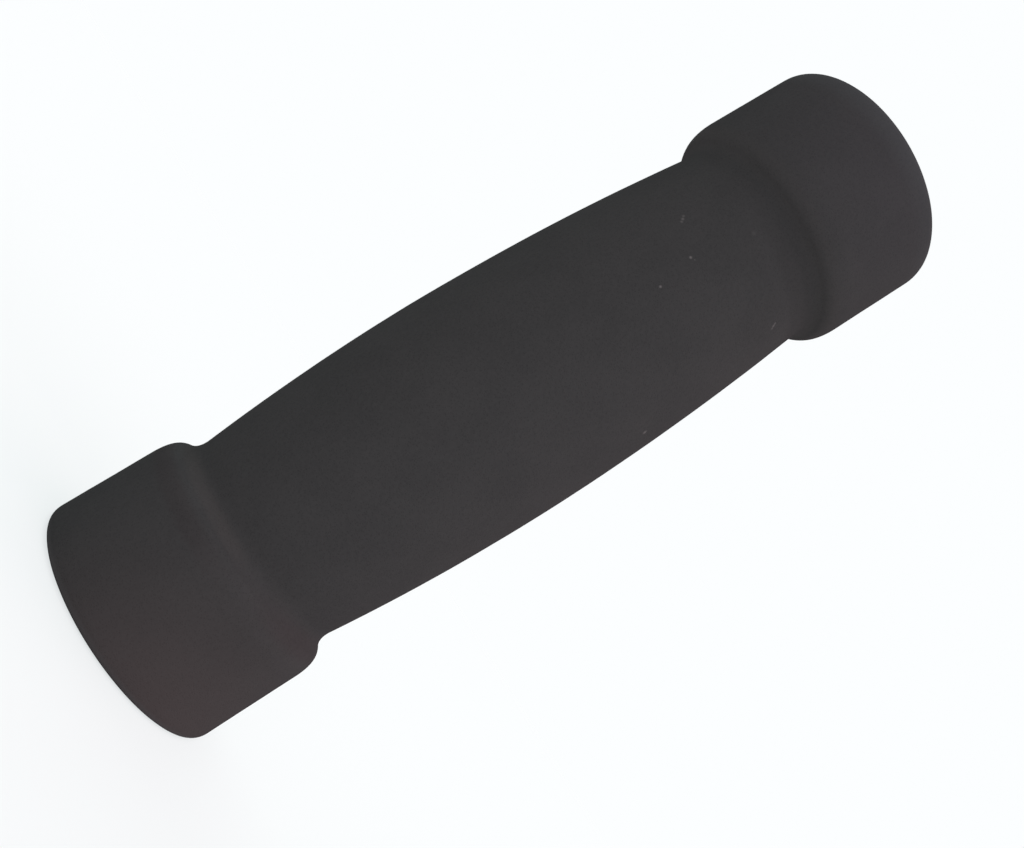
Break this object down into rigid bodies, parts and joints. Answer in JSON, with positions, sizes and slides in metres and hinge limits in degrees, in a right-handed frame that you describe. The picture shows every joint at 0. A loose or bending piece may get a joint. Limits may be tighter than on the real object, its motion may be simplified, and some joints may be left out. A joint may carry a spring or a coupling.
{
  "type": "handlebar grip",
  "caption": "One-piece foam rubber handlebar grip: a tube with a raised collar at each end, a swollen belly for the palm between them and an open bore for the bar.",
  "frame": {"origin": "centre of the lower end face, on the axis of the bore", "axes": "+Z along the bore, from the lower end face to the upper one; X and Y across it, with no direction of their own because the grip is round"},
  "size_m": [0.037, 0.037, 0.125],
  "materials": {
    "foam": "matte"
  },
  "bodies": {
    "root": {"grip": "foam"}
  },
  "joints": []
}
